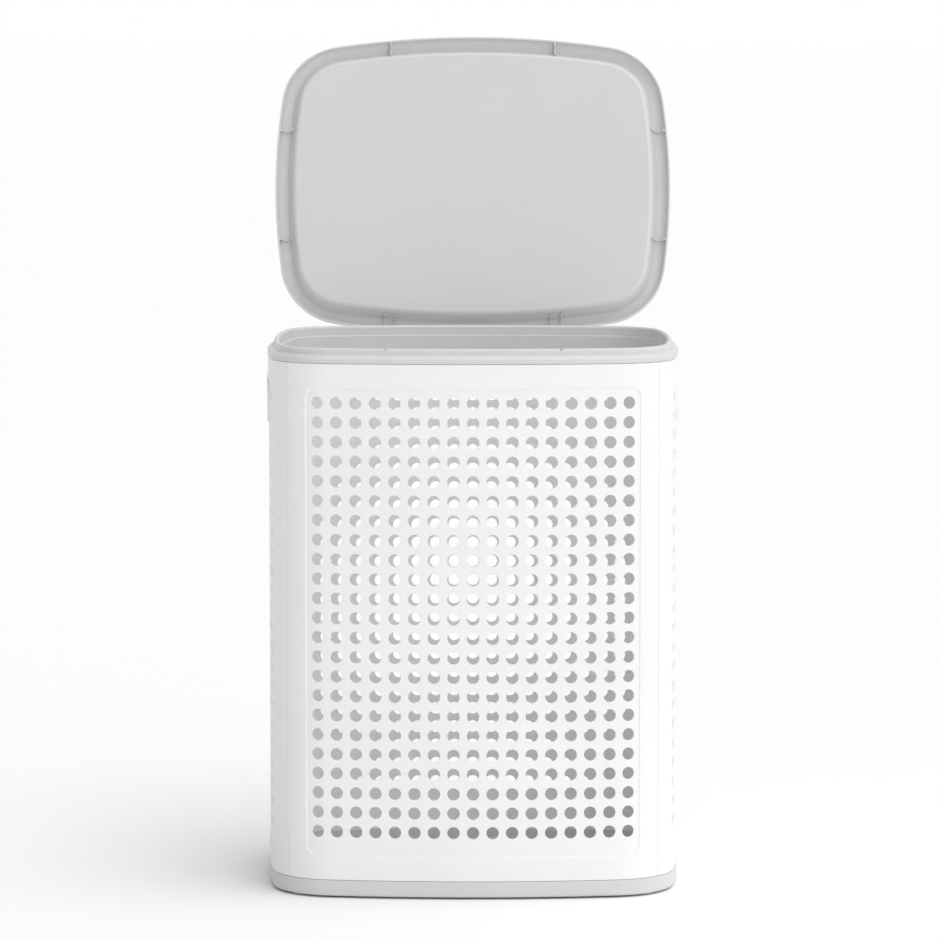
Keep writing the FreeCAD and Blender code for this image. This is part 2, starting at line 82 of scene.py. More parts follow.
# ---- Levels ----
edge = 0.35                            # rounding of moulded edges
hinge_height = 3.5                     # of the axis over the collar's seam
band_bottom = tray_low.z
band_top = tray_high.z
floor_lift = 3.0                       # hollow under the floor plate
floor_thickness = 2.5
floor_bottom = band_bottom + floor_lift
floor_top = floor_bottom + floor_thickness
panel_bottom = band_top + seam_gap
collar_bottom = hinge.z - hinge_height
panel_top = collar_bottom - seam_gap
tongue_low = side_low.z
tongue_high = side_high.z
lip_top = collar_high.z
skirt_low = collar_low.z

# ---- Base ----
base_edge_radius = 3.0
rib_rise = 0.4                         # the floor's ribs end this far above the band's lower face
base_rib_thickness = 2.0
base_rib_overlap = 0.6                 # the ribs run this far into the floor
foot_boss_radius = 8.3
foot_pocket_radius = 6.8
foot_pocket_depth = 1.0
foot_names = ["foot_front_left", "foot_front_right", "foot_rear_left", "foot_rear_right"]

# ---- Walls ----
band_wall = 2.6                        # insets of the channels that hold the tongues
channel_inner = 5.6
channel_back = 8.0
wall_outer = 0.4                       # insets
wall_inner = 3.2
tongue_outer = 2.9
tongue_inner = 5.3
flange_height = 4.5
lap_outer = 3.5
lap_inner = 5.3
lap_reach = 8.0
lap_root = 4.0
lap_end_gap = 0.5                      # from a lap to the flanges above and below it
hole_radius = 6.5
hole_pitch = 20.6
hole_rows = 23
columns_front = 17
columns_side = 10
top_row_z = collar_bottom - 41.4
hole_edge = 0.5                        # rounding of the vent holes
hole_steps = 32
field_depth = 1.0
field_margin_side = 11.8
field_wrap = 1.1                       # the front field's sides, further out along the bend
field_margin_top = 16.3
field_margin_bottom = 26.0
field_corner_radius = 12.0
grip_half_width = 48.0
grip_half_height = 16.5
grip_corner_radius = 12.0
grip_rim_width = 8.0
grip_z = collar_bottom - 48.4
grip_outer = half_width - side_high.x  # inset of the grip's rim, which stands proud
grip_return = 12.2                     # inset of the inner end of the hand hole's flange
grip_flange = 2.2
grip_margin = 1.0                      # least wall between the grip's rim and a vent hole

# ---- Collar and lid ----
collar_band_height = 4.4
shoulder_top = collar_bottom + 8.9
shoulder_break = (4.0, shoulder_top - 0.7)     # where the shoulder's slope eases
ledge_z = shoulder_top - 4.3
ledge_thickness = 1.6
skirt_thickness = 2.0
channel_depth = 6.2                    # above the collar's seam
channel_drop = 5.0                     # of the channel's inner wall, below the seam
lip_inset = 7.0
lip_inner = 12.6
notch_half = 1.3
notch_depth = 2.4
notch_wall = 0.25                      # plan width of a notch's side
lid_thickness = 2.2
lid_under = lip_top + 3.0
lid_top = lid_under + lid_thickness
lid_rim_bottom = shoulder_top + 0.6
plateau_depth = 16.0
plateau_under = lid_under - plateau_depth
plateau_top = plateau_under + lid_thickness
lid_flange_width = 14.0
lid_step_run = 7.0
lid_slope = lid_step_run / plateau_depth
lid_edge_radius = 9.0
lid_step_radius = 3.5
plateau_radius = 5.5
lid_tip = 0.7                          # rounding of the rim's lower edge
plate_inset = 30.0
plate_dish = -0.5                      # the plateau sags this much in its middle
rib_seat = lip_top + 0.4               # the ribs rest this far above the lip
rib_drop = 8.0                         # and hang this far below that inside it
rib_low = shoulder_top + 0.9           # lower edge of the ribs outside the lip
rib_overlap = 0.8                      # how far the ribs run into the shell that carries them
rib_thickness = 1.6
rib_edge = 0.25
side_rib_place = 63.0
pair_spacing = 184.0                   # hinges at the rear, ribs at the front
ear_spacing = 12.0
ear_thickness = 1.8
ear_radius = 4.8
lug_radius = 4.4
lug_width = 9.4
lug_root = 2.0                         # inset that the lugs reach in the collar's band
stop_gap = 0.35                        # from the open lid's rim to the lugs' stop noses
stop_start = 5.0                       # the nose's upper face, along the rim from the axis
stop_end = 9.5
stop_thickness = 3.0
bore_radius = 2.06
bore_steps = 24
pin_radius = 2.0
pin_head_thickness = 1.2


# ---- Outline arithmetic ----
def corner_centre():
    """Centre of the corner arc that touches the front bow and the side bow."""
    front_y = front_bow_radius - half_depth
    side_x = half_width - side_bow_radius
    to_front = front_bow_radius - corner_radius
    to_side = side_bow_radius - corner_radius
    span = math.hypot(side_x, front_y)
    along = (to_front**2 - to_side**2 + span**2) / (2 * span)
    across = math.sqrt(to_front**2 - along**2)
    ux, uy = side_x / span, -front_y / span
    return along * ux - across * uy, -(front_y + along * uy + across * ux)


front_centre = front_bow_radius - half_depth
side_centre = side_bow_radius - half_width
corner_x, corner_y = corner_centre()
front_half = math.atan2(corner_x, front_centre + corner_y)
side_half = math.atan2(corner_y, corner_x + side_centre)
front_reach = front_half * front_bow_radius
side_reach = side_half * side_bow_radius
front_seam = front_reach + (math.pi / 2 - front_half - seam_angle) * corner_radius - seam_gap / 2
side_seam = side_reach + (seam_angle - side_half) * corner_radius - seam_gap / 2


def on_front(s, z, inset):
    """Points of the front wall, at distances s along the outline from its middle."""
    side = np.where(s < 0, -1.0, 1.0)
    bowed = np.abs(s) <= front_reach
    turn = np.where(bowed, s / front_bow_radius,
                    side * (front_half + (np.abs(s) - front_reach) / corner_radius))
    radius = np.where(bowed, front_bow_radius, corner_radius) - inset
    x = np.where(bowed, 0.0, side * corner_x) + radius * np.sin(turn)
    y = np.where(bowed, front_centre, -corner_y) - radius * np.cos(turn)
    return np.stack([x, y, z], axis=-1)


def on_side(s, z, inset):
    """Points of the right wall, at distances s along the outline from its middle."""
    side = np.where(s < 0, -1.0, 1.0)
    bowed = np.abs(s) <= side_reach
    turn = np.where(bowed, s / side_bow_radius,
                    side * (side_half + (np.abs(s) - side_reach) / corner_radius))
    radius = np.where(bowed, side_bow_radius, corner_radius) - inset
    x = np.where(bowed, -side_centre, corner_x) + radius * np.cos(turn)
    y = np.where(bowed, 0.0, side * corner_y) + radius * np.sin(turn)
    return np.stack([x, y, z], axis=-1)


def rear_y(x, inset):
    return math.sqrt((front_bow_radius - inset)**2 - x**2) - front_centre


def side_x(y, inset):
    return math.sqrt((side_bow_radius - inset)**2 - y**2) - side_centre


def places_round(extra=()):
    """(centre x, centre y, radius, angle) of stations round the outline, anticlockwise.
    extra holds x positions of additional stations on the front bow."""
    bow = sorted(list(np.linspace(-front_half, front_half, front_stations + 1)[:-1])
                 + [math.asin(x / front_bow_radius) for x in extra])
    places = [(0, front_centre, front_bow_radius, a - math.pi / 2) for a in bow]

    def arc(x, y, radius, start, end, count):
        return [(x, y, radius, a) for a in np.linspace(start, end, count + 1)[:-1]]

    def corner(x, y, start, end):
        return arc(x, y, corner_radius, start, end, corner_stations)

    quarter = math.pi / 2
    places += corner(corner_x, -corner_y, front_half - quarter, -side_half)
    places += arc(-side_centre, 0, side_bow_radius, -side_half, side_half, side_stations)
    places += corner(corner_x, corner_y, side_half, quarter - front_half)
    places += arc(0, -front_centre, front_bow_radius, quarter - front_half, quarter + front_half,
                  front_stations)
    places += corner(-corner_x, corner_y, quarter + front_half, math.pi - side_half)
    places += arc(side_centre, 0, side_bow_radius, math.pi - side_half, math.pi + side_half,
                  side_stations)
    places += corner(-corner_x, -corner_y, math.pi + side_half, 3 * quarter - front_half)
    return places


# ---- Loops ----
def circle(u, v, radius, steps=hole_steps):
    turn = np.arange(steps) * 2 * math.pi / steps
    return np.stack([u + radius * np.cos(turn), v + radius * np.sin(turn)], axis=-1)


def rounded_rectangle(u, v, half_u, half_v, radius, offset=0.0, spacing=4.0):
    """Loop round a rounded rectangle. The number of points doesn't depend on the offset."""
    flat_u, flat_v = half_u - radius, half_v - radius
    steps_u = max(2, round(2 * flat_u / spacing))
    steps_v = max(2, round(2 * flat_v / spacing))
    corners = [(flat_u, -flat_v, -90, steps_v), (flat_u, flat_v, 0, steps_u),
               (-flat_u, flat_v, 90, steps_v), (-flat_u, -flat_v, 180, steps_u)]
    loop = []
    for index, (cu, cv, start, count) in enumerate(corners):
        for turn in np.radians(np.linspace(start, start + 90, 13)):
            loop.append((u + cu + (radius + offset) * math.cos(turn),
                         v + cv + (radius + offset) * math.sin(turn)))
        following = corners[(index + 1) % 4]
        turn = math.radians(start + 90)
        ahead = (u + following[0] + (radius + offset) * math.cos(turn),
                 v + following[1] + (radius + offset) * math.sin(turn))
        here = loop[-1]
        for k in range(1, count):
            part = k / count
            loop.append((here[0] + (ahead[0] - here[0]) * part, here[1] + (ahead[1] - here[1]) * part))
    return np.array(loop)


def rounded(corners, step=math.radians(12)):
    """Closed outline through (u, v, radius) corners, with each corner rounded."""
    points = []
    for index, (u, v, radius) in enumerate(corners):
        corner = Vector((u, v))
        before = corners[index - 1]
        after = corners[(index + 1) % len(corners)]
        back = (Vector(before[:2]) - corner).normalized()
        ahead = (Vector(after[:2]) - corner).normalized()
        half = back.angle(ahead) / 2
        if radius == 0:
            points.append(corner[:])
            continue
        inwards = (back + ahead).normalized()
        centre = corner + inwards * (radius / math.sin(half))
        start = corner + back * (radius / math.tan(half)) - centre
        sweep_angle = math.pi - 2 * half
        turn_left = back.x * ahead.y - back.y * ahead.x < 0
        count = max(2, math.ceil(sweep_angle / step))
        for k in range(count + 1):
            turn = (1 if turn_left else -1) * sweep_angle * k / count
            points.append((centre.x + start.x * math.cos(turn) - start.y * math.sin(turn),
                           centre.y + start.x * math.sin(turn) + start.y * math.cos(turn)))
    return np.array(points)


def offset_loop(loop, distance):
    """The loop moved inwards (to its left side when it runs anticlockwise)."""
    before = loop - np.roll(loop, 1, axis=0)
    after = np.roll(loop, -1, axis=0) - loop
    before /= np.linalg.norm(before, axis=1)[:, None]
    after /= np.linalg.norm(after, axis=1)[:, None]
    normal = np.stack([-(before + after)[:, 1], (before + after)[:, 0]], axis=-1)
    length = np.linalg.norm(normal, axis=1)[:, None]
    cosine = np.maximum(length / 2, 0.5)
    area = np.sum(loop[:, 0] * np.roll(loop[:, 1], -1) - np.roll(loop[:, 0], -1) * loop[:, 1])
    return loop + normal / length * distance / cosine * (1 if area > 0 else -1)


def quarter_steps(radius, count=3):
    """(distance outside a hole's wall, depth under the face) round a rounded edge."""
    turns = np.linspace(0, math.pi / 2, count + 1)
    return [(radius * (1 - math.sin(t)), radius * (1 - math.cos(t))) for t in turns]


def inside(points, loop):
    """Even-odd test of points against a closed loop."""
    result = np.zeros(len(points), bool)
    for a, b in zip(loop, np.roll(loop, -1, axis=0)):
        crosses = (a[1] > points[:, 1]) != (b[1] > points[:, 1])
        if abs(b[1] - a[1]) > 0:
            at = a[0] + (points[:, 1] - a[1]) * (b[0] - a[0]) / (b[1] - a[1])
            result ^= crosses & (points[:, 0] < at)
    return result


class Shell:
    """Faces in (u, v, w), which a mapping turns into (x, y, z) of the shared frame."""

    def __init__(self, mapping):
        self.mapping = mapping
        self.points = []
        self.faces = []
        self.count = 0

    def add(self, loop, w):
        loop = np.asarray(loop, float)
        depth = np.full(len(loop), float(w))
        self.points.append(self.mapping(loop[:, 0], loop[:, 1], depth))
        start = self.count
        self.count += len(loop)
        return list(range(start, self.count))

    def skin(self, levels):
        """Quads between successive loops, given as (loop, w), with as many points each."""
        rows = [self.add(loop, w) for loop, w in levels]
        for a, b in zip(rows, rows[1:]):
            for i in range(len(a)):
                j = (i + 1) % len(a)
                self.faces.append((a[i], a[j], b[j], b[i]))

    def fill(self, outer, holes, w, extra=()):
        """Triangles inside the outer loop and outside the holes, which are convex."""
        flat = [Vector(p) for p in outer]
        loop_of = [0] * len(outer)
        for number, hole in enumerate(holes, 1):
            flat += [Vector(p) for p in hole]
            loop_of += [number] * len(hole)
        edges = []
        start = 0
        for loop in [outer] + list(holes):
            size = len(loop)
            edges += [(start + i, start + (i + 1) % size) for i in range(size)]
            start += size
        flat += [Vector(p) for p in extra]
        loop_of += [-1] * len(extra)
        verts, _, faces, sources, _, _ = delaunay_2d_cdt(flat, edges, [], 0, 1e-7)
        points = np.array([tuple(p) for p in verts])
        triangles = np.array(faces)
        marks = np.array([loop_of[ids[0]] if ids else -1 for ids in sources])[triangles]
        in_hole = (marks[:, 0] == marks[:, 1]) & (marks[:, 1] == marks[:, 2]) & (marks[:, 0] > 0)
        centres = points[triangles].mean(axis=1)
        keep = ~in_hole
        all_outer = (marks == 0).all(axis=1)
        keep[all_outer] &= inside(centres[all_outer], np.asarray(outer))
        base = self.add(points, w)[0]
        self.faces += [tuple(int(i) + base for i in t) for t in triangles[keep]]


def slab(outline, thickness, place, holes=(), rounding=edge):
    """Plate of an outline, with rounded edges. place maps (u, v, w), w across the plate."""
    shell = Shell(place)
    half = thickness / 2
    inner = offset_loop(outline, rounding)
    for sign in (-1, 1):
        shell.fill(inner, [circle(u, v, r + rounding, bore_steps) for u, v, r in holes], sign * half)
    steps = quarter_steps(rounding, 2)
    around = [(offset_loop(outline, s[0]), s[1]) for s in steps]
    shell.skin([(loop, half - depth) for loop, depth in around]
               + [(loop, depth - half) for loop, depth in reversed(around)])
    for u, v, r in holes:
        bore = [(circle(u, v, r + s[0], bore_steps), s[1]) for s in steps]
        shell.skin([(loop, half - depth) for loop, depth in bore]
                   + [(loop, depth - half) for loop, depth in reversed(bore)])
    return shell


def lathe(profile, x, y, z, axis="z", steps=40):
    """Closed (radius, height) profile turned about an axis through (x, y, z)."""
    def place(turn, height, radius):
        across, up = radius * np.cos(turn), radius * np.sin(turn)
        if axis == "z":
            return np.stack([x + across, y + up, z + height], axis=-1)
        return np.stack([x + height, y + across, z + up], axis=-1)

    shell = Shell(place)
    rows = []
    for k in range(steps):
        turn = 2 * math.pi * k / steps
        start = shell.count
        points = np.array(profile, float)
        shell.points.append(place(np.full(len(points), turn), points[:, 1], points[:, 0]))
        shell.count += len(points)
        rows.append(list(range(start, shell.count)))
    for k in range(steps):
        a, b = rows[k], rows[(k + 1) % steps]
        for i in range(len(a)):
            j = (i + 1) % len(a)
            shell.faces.append((a[i], a[j], b[j], b[i]))
    return shell


def sweep(section, places, closed=True, change=None):
    """Closed (inset, z) section carried round a run of stations."""
    shell = Shell(None)
    rows = []
    for place in places:
        points = change(section, place) if change else section
        radius = place[2] - points[:, 0]
        shell.points.append(np.stack([place[0] + radius * math.cos(place[3]),
                                      place[1] + radius * math.sin(place[3]), points[:, 1]], axis=-1))
        rows.append(list(range(shell.count, shell.count + len(points))))
        shell.count += len(points)
    pairs = list(zip(rows, rows[1:])) + ([(rows[-1], rows[0])] if closed else [])
    for a, b in pairs:
        for i in range(len(a)):
            j = (i + 1) % len(a)
            shell.faces.append((a[i], a[j], b[j], b[i]))
    if not closed:
        shell.faces += [tuple(rows[0]), tuple(reversed(rows[-1]))]
    return shell


# ---- Pieces ----
def mesh_of(name, shells, matrix=None):
    """One mesh of several shells, welded where their loops meet."""
    points = np.concatenate([p for shell in shells for p in shell.points])
    faces = []
    base = 0
    for shell in shells:
        faces += [tuple(i + base for i in face) for face in shell.faces]
        base += shell.count
    mesh = bpy.data.meshes.new(name)
    mesh.from_pydata((points * MM).tolist(), [], faces)
    form = bmesh.new()
    form.from_mesh(mesh)
    bmesh.ops.remove_doubles(form, verts=form.verts, dist=2e-6)
    bmesh.ops.dissolve_degenerate(form, edges=form.edges, dist=1e-7)
    bmesh.ops.recalc_face_normals(form, faces=form.faces)
    form.to_mesh(mesh)
    form.free()
    if matrix is not None:
        mesh.transform(matrix)
    mesh.shade_smooth()
    return mesh


def piece(name, mesh, node, body, material):
    """Object that stands for a CAD node and rides on its body."""
    obj = bpy.data.objects.new(name, mesh)
    bpy.context.scene.collection.objects.link(obj)
    mesh.materials.clear()
    mesh.materials.append(material)
    normals = obj.modifiers.new("even_normals", "WEIGHTED_NORMAL")
    normals.weight = 100
    normals.keep_sharp = True
    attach(obj, body)
    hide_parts(node)
    return obj


def hole_places(columns, blocked_half=-hole_pitch, blocked_bottom=0.0):
    """(s, z) of the vent holes, without those that a grip leaves no room for."""
    places = []
    for column in range(columns):
        s = (column - (columns - 1) / 2) * hole_pitch
        for row in range(hole_rows):
            z = top_row_z - row * hole_pitch
            clear = abs(s) - hole_radius > blocked_half or z + hole_radius < blocked_bottom
            if clear:
                places.append((s, z))
    return places


def inner_grid(reach, seam, loop, holes, big_hole=None, margin=1.2):
    """Points that let the triangles follow the bends of a wall, clear of its loops."""
    corner_step, bow_step = 2.5, 9.0
    round_corner = np.arange(reach, seam, corner_step)
    us = np.concatenate([-round_corner, np.arange(-reach + 5, reach - 4, bow_step), round_corner])
    rows = top_row_z + hole_pitch / 2 - np.arange(-4, 2 * hole_rows + 6) * hole_pitch / 2
    grid = np.array([(u, v) for u in us for v in rows])
    low, high = loop.min(axis=0) + margin, loop.max(axis=0) - margin
    keep = ((grid > low) & (grid < high)).all(axis=1)
    keep &= inside(grid, offset_loop(loop, margin))
    grid = grid[keep]
    clear = np.ones(len(grid), bool)
    for u, v in holes:
        clear &= np.hypot(grid[:, 0] - u, grid[:, 1] - v) > hole_radius + hole_edge + margin
    grid = grid[clear]
    if big_hole is not None:
        grid = grid[~inside(grid, offset_loop(big_hole, -margin))]
    return grid


def wall_shell(mapping, reach, seam, columns, field_half, grip=False):
    """Wall with rounded edges, its sunk field and its vent holes."""
    shell = Shell(mapping)
    middle = (panel_top + panel_bottom) / 2
    half_height = (panel_top - panel_bottom) / 2

    def border(offset):
        return rounded_rectangle(0, middle, seam, half_height, 1.0, offset)

    field_top = top_row_z + field_margin_top
    field_bottom = top_row_z - (hole_rows - 1) * hole_pitch - field_margin_bottom

    def field(offset):
        return rounded_rectangle(0, (field_top + field_bottom) / 2, field_half,
                                 (field_top - field_bottom) / 2, field_corner_radius, offset)

    if grip:
        blocked = grip_half_width + grip_rim_width + grip_margin
        holes = hole_places(columns, blocked, grip_z - grip_half_height - grip_rim_width)
        opening = rounded_rectangle(0, grip_z, grip_half_width, grip_half_height,
                                    grip_corner_radius, 4.0)
        openings = [opening]
    else:
        holes = hole_places(columns)
        opening = None
        openings = []
    step_outer, step_inner = 0.8, 0.9
    sunk = wall_outer + field_depth
    outer_loop, field_outer, field_inner = border(-edge), field(step_outer), field(-step_inner)

    blank = inner_grid(reach, seam, outer_loop, [], field_outer)
    shell.fill(outer_loop, [field_outer], wall_outer, blank)
    # Softened step down into the field, as (offset outwards, depth).
    profile = [(step_outer, 0.0), (0.45, 0.06), (0.15, 0.22), (0.0, 0.42), (-0.1, 0.6),
               (-0.3, 0.82), (-0.6, 0.96), (-step_inner, field_depth)]
    shell.skin([(field(offset), wall_outer + depth) for offset, depth in profile])
    rim = hole_radius + hole_edge
    face_holes = [circle(u, v, rim) for u, v in holes]
    grid = inner_grid(reach, seam, field_inner, holes, opening)
    shell.fill(field_inner, face_holes + openings, sunk, grid)
    back_edge = 0.3
    back_holes = [circle(u, v, hole_radius + back_edge) for u, v in holes]
    grid = inner_grid(reach, seam, outer_loop, holes, opening)
    shell.fill(outer_loop, back_holes + openings, wall_inner, grid)
    front_steps = quarter_steps(hole_edge)
    back_steps = quarter_steps(back_edge, 2)
    for u, v in holes:
        shell.skin([(circle(u, v, hole_radius + out), sunk + depth) for out, depth in front_steps]
                   + [(circle(u, v, hole_radius + out), wall_inner - depth)
                      for out, depth in reversed(back_steps)])
    if grip:
        shell.skin([(opening, sunk), (opening, wall_inner)])
    steps = quarter_steps(edge)
    shell.skin([(border(-out), wall_outer + depth) for out, depth in steps]
               + [(border(-out), wall_inner - depth) for out, depth in reversed(steps)])
    return shell


def run_of(reach_half, bow, seam, side):
    """Stations from seam to seam along a front (side=False) or a right wall (side=True)."""
    centre = (-side_centre, 0) if side else (0, front_centre)
    start = 0 if side else -math.pi / 2
    beyond = (seam - reach_half * bow) / corner_radius
    low = (corner_x, -corner_y) if side else (-corner_x, -corner_y)
    high = (corner_x, corner_y) if side else (corner_x, -corner_y)
    round_corner = np.linspace(0, beyond, 19)[1:]
    places = [(*low, corner_radius, start - reach_half - a) for a in reversed(round_corner)]
    places += [(*centre, bow, start + a) for a in np.linspace(-reach_half, reach_half, 31)]
    places += [(*high, corner_radius, start + reach_half + a) for a in round_corner]
    return places


def tongues(places):
    """Flange and tongue along the upper and the lower edge of a wall."""
    top = rounded([(tongue_outer, tongue_high, edge), (tongue_inner, tongue_high, edge),
                   (tongue_inner, panel_top - flange_height, edge),
                   (tongue_outer, panel_top - flange_height, 0)])
    low = rounded([(tongue_outer, panel_bottom + flange_height, 0),
                   (tongue_inner, panel_bottom + flange_height, edge),
                   (tongue_inner, tongue_low, edge), (tongue_outer, tongue_low, edge)])
    trimmed = places[1:-1]
    return [sweep(top, trimmed, closed=False), sweep(low, trimmed, closed=False)]


def front_wall():
    """Front wall with its tongues."""
    field_half = (columns_front - 1) / 2 * hole_pitch + field_margin_side + field_wrap
    wall = wall_shell(on_front, front_reach, front_seam, columns_front, field_half)
    return [wall] + tongues(run_of(front_half, front_bow_radius, front_seam, False))


def grip_rim():
    """Rim that stands proud round the hand hole, and the flange that turns inwards."""
    sunk_in = wall_inner - 0.9
    section = rounded([(grip_rim_width, grip_outer, 0.9), (grip_rim_width, sunk_in, 0.3),
                       (grip_flange, sunk_in, 0.3), (grip_flange, grip_return, 0.7),
                       (0.0, grip_return, 0.7), (0.0, grip_outer, 1.2)])
    shell = Shell(on_side)
    loops = [(rounded_rectangle(0, grip_z, grip_half_width, grip_half_height, grip_corner_radius,
                                out, spacing=3.0), w) for out, w in section]
    shell.skin(loops + loops[:1])
    return shell


def seam_laps():
    """Strips of the side wall that run on behind the front and the rear wall."""
    low = panel_bottom + flange_height + lap_end_gap
    high = panel_top - flange_height - lap_end_gap
    section = rounded([(lap_outer, low, edge), (lap_outer, high, edge), (lap_inner, high, edge),
                       (lap_inner, low, edge)])
    root = rounded([(wall_inner - 0.3, low, 0), (wall_inner - 0.3, high, 0), (lap_inner, high, edge),
                    (lap_inner, low, edge)])
    shells = []
    for side in (-1, 1):
        centre = (corner_x, side * corner_y, corner_radius)
        joint = seam_angle - seam_gap / 2 / corner_radius
        tip = np.linspace(joint - lap_root / corner_radius, seam_angle + lap_reach / corner_radius, 9)
        base = np.linspace(joint - lap_root / corner_radius, joint, 4)
        shells.append(sweep(section, [(*centre, side * a) for a in tip], closed=False))
        shells.append(sweep(root, [(*centre, side * a) for a in base], closed=False))
    return shells


def side_wall():
    """Right side wall, with its hand hole, tongues and seam laps."""
    field_half = (columns_side - 1) / 2 * hole_pitch + field_margin_side
    wall = wall_shell(on_side, side_reach, side_seam, columns_side, field_half, grip=True)
    run = run_of(side_half, side_bow_radius, side_seam, True)
    return [wall, grip_rim()] + tongues(run) + seam_laps()


def outline_loop(inset, places):
    """Plan outline through the stations, at an inset."""
    return np.array([(p[0] + (p[2] - inset) * math.cos(p[3]), p[1] + (p[2] - inset) * math.sin(p[3]))
                     for p in places])


def crowned_plate(outer, level, crown, places):
    """Face that closes a swept ring, raised by crown in its middle."""
    shell = Shell(lambda u, v, w: np.stack([u, v, w + crown * np.clip(
        1 - (u / half_width)**2 - (v / half_depth)**2, 0, 1)], axis=-1))
    spacing, reach_x, reach_y = 14.0, 200.0, 150.0
    grid = np.array([(x, y) for x in np.arange(-reach_x, reach_x + 1, spacing)
                     for y in np.arange(-reach_y, reach_y + 1, spacing)])
    grid = grid[inside(grid, outline_loop(plate_inset + 4, places))]
    shell.fill(outer, [], level, grid)
    return shell


def base_shells():
    """Tray: band with its channel, floor plate, ribs and foot pockets."""
    inner_top = band_top - seam_gap
    section = rounded([(0, band_top, 0.5), (0, band_bottom, base_edge_radius),
                       (channel_back, band_bottom, 0.5), (channel_back, inner_top, 0.6),
                       (channel_inner, inner_top, 0.5), (channel_inner, floor_bottom, 0.2),
                       (band_wall, floor_bottom, 0.2), (band_wall, band_top, 0.5)])
    places = places_round()
    shells = [sweep(section, places)]
    plate_outline = outline_loop(channel_back - 1.0, places)

    def level(height):
        return lambda u, v, w: np.stack([u, v, w + height], axis=-1)

    shells.append(slab(plate_outline, floor_top - floor_bottom, level((floor_top + floor_bottom) / 2)))
    low = band_bottom + rib_rise
    height = floor_bottom - low + base_rib_overlap
    for k in range(-2, 3):
        x = k * 2 * half_width / 6
        reach = rear_y(abs(x), channel_back) - 0.5
        shells.append(bar(x, 0, base_rib_thickness, 2 * reach, low, height))
    for k in range(-1, 2):
        y = k * 2 * half_depth / 4
        reach = side_x(abs(y), channel_back) - 0.5
        shells.append(bar(0, y, 2 * reach, base_rib_thickness, low, height))
    for name in foot_names:
        foot_low, foot_high = node_box(name)
        centre = (foot_low + foot_high) / 2
        boss, pocket, hub = foot_boss_radius, foot_pocket_radius, 0.3
        boss_top = floor_lift + 0.4
        profile = [(pocket, 0.4), (pocket + 0.3, 0.02), (boss - 0.4, 0.02), (boss, 0.4),
                   (boss, boss_top), (hub, boss_top), (hub, foot_pocket_depth),
                   (pocket, foot_pocket_depth)]
        shells.append(lathe(profile, centre.x, centre.y, band_bottom))
    return shells


def bar(x, y, length_x, length_y, low, height):
    """Rib under the floor, with its middle at (x, y)."""
    outline = rounded([(-length_x / 2, -length_y / 2, 0), (length_x / 2, -length_y / 2, 0),
                       (length_x / 2, length_y / 2, 0), (-length_x / 2, length_y / 2, 0)])
    return slab(outline, height, lambda u, v, w: np.stack([u + x, v + y, w + low + height / 2], axis=-1),
                rounding=0.25)


def foot_shell(name):
    """Pad with a rounded rim and a shallow hollow in its underside."""
    low, high = node_box(name)
    centre = (low + high) / 2
    radius, height = (high.x - low.x) / 2, high.z - low.z
    profile = [(0.0, 0.12), (radius * 0.5, 0.1), (radius * 0.52, 0.0), (radius - 0.7, 0.0),
               (radius - 0.2, 0.2), (radius, 0.7), (radius, height - 0.3), (radius - 0.3, height),
               (0.0, height)]
    return lathe(profile, centre.x, centre.y, low.z)


def pin_shell(name):
    """Pin with a domed head on its outer end."""
    low, high = node_box(name)
    side = 1 if low.x > 0 else -1
    head, shank, length = (high.z - low.z) / 2, pin_radius, high.x - low.x
    shoulder = length - pin_head_thickness
    profile = [(0.0, 0.0), (shank - 0.5, 0.0), (shank, 0.5), (shank, shoulder), (head - 0.3, shoulder),
               (head, shoulder + 0.3), (head - 0.1, shoulder + 0.75), (head - 0.8, length - 0.12),
               (0.0, length)]
    start = low.x if side > 0 else high.x
    return lathe([(r, side * h) for r, h in profile], start, hinge.y, hinge.z, axis="x")


def across_x(x):
    """Mapping for a plate that stands across X: (y, z, offset in x)."""
    return lambda u, v, w: np.stack([w + x, u, v], axis=-1)


def across_y(y):
    """Mapping for a plate that stands across Y: (x, z, offset in y)."""
    return lambda u, v, w: np.stack([u, w + y, v], axis=-1)


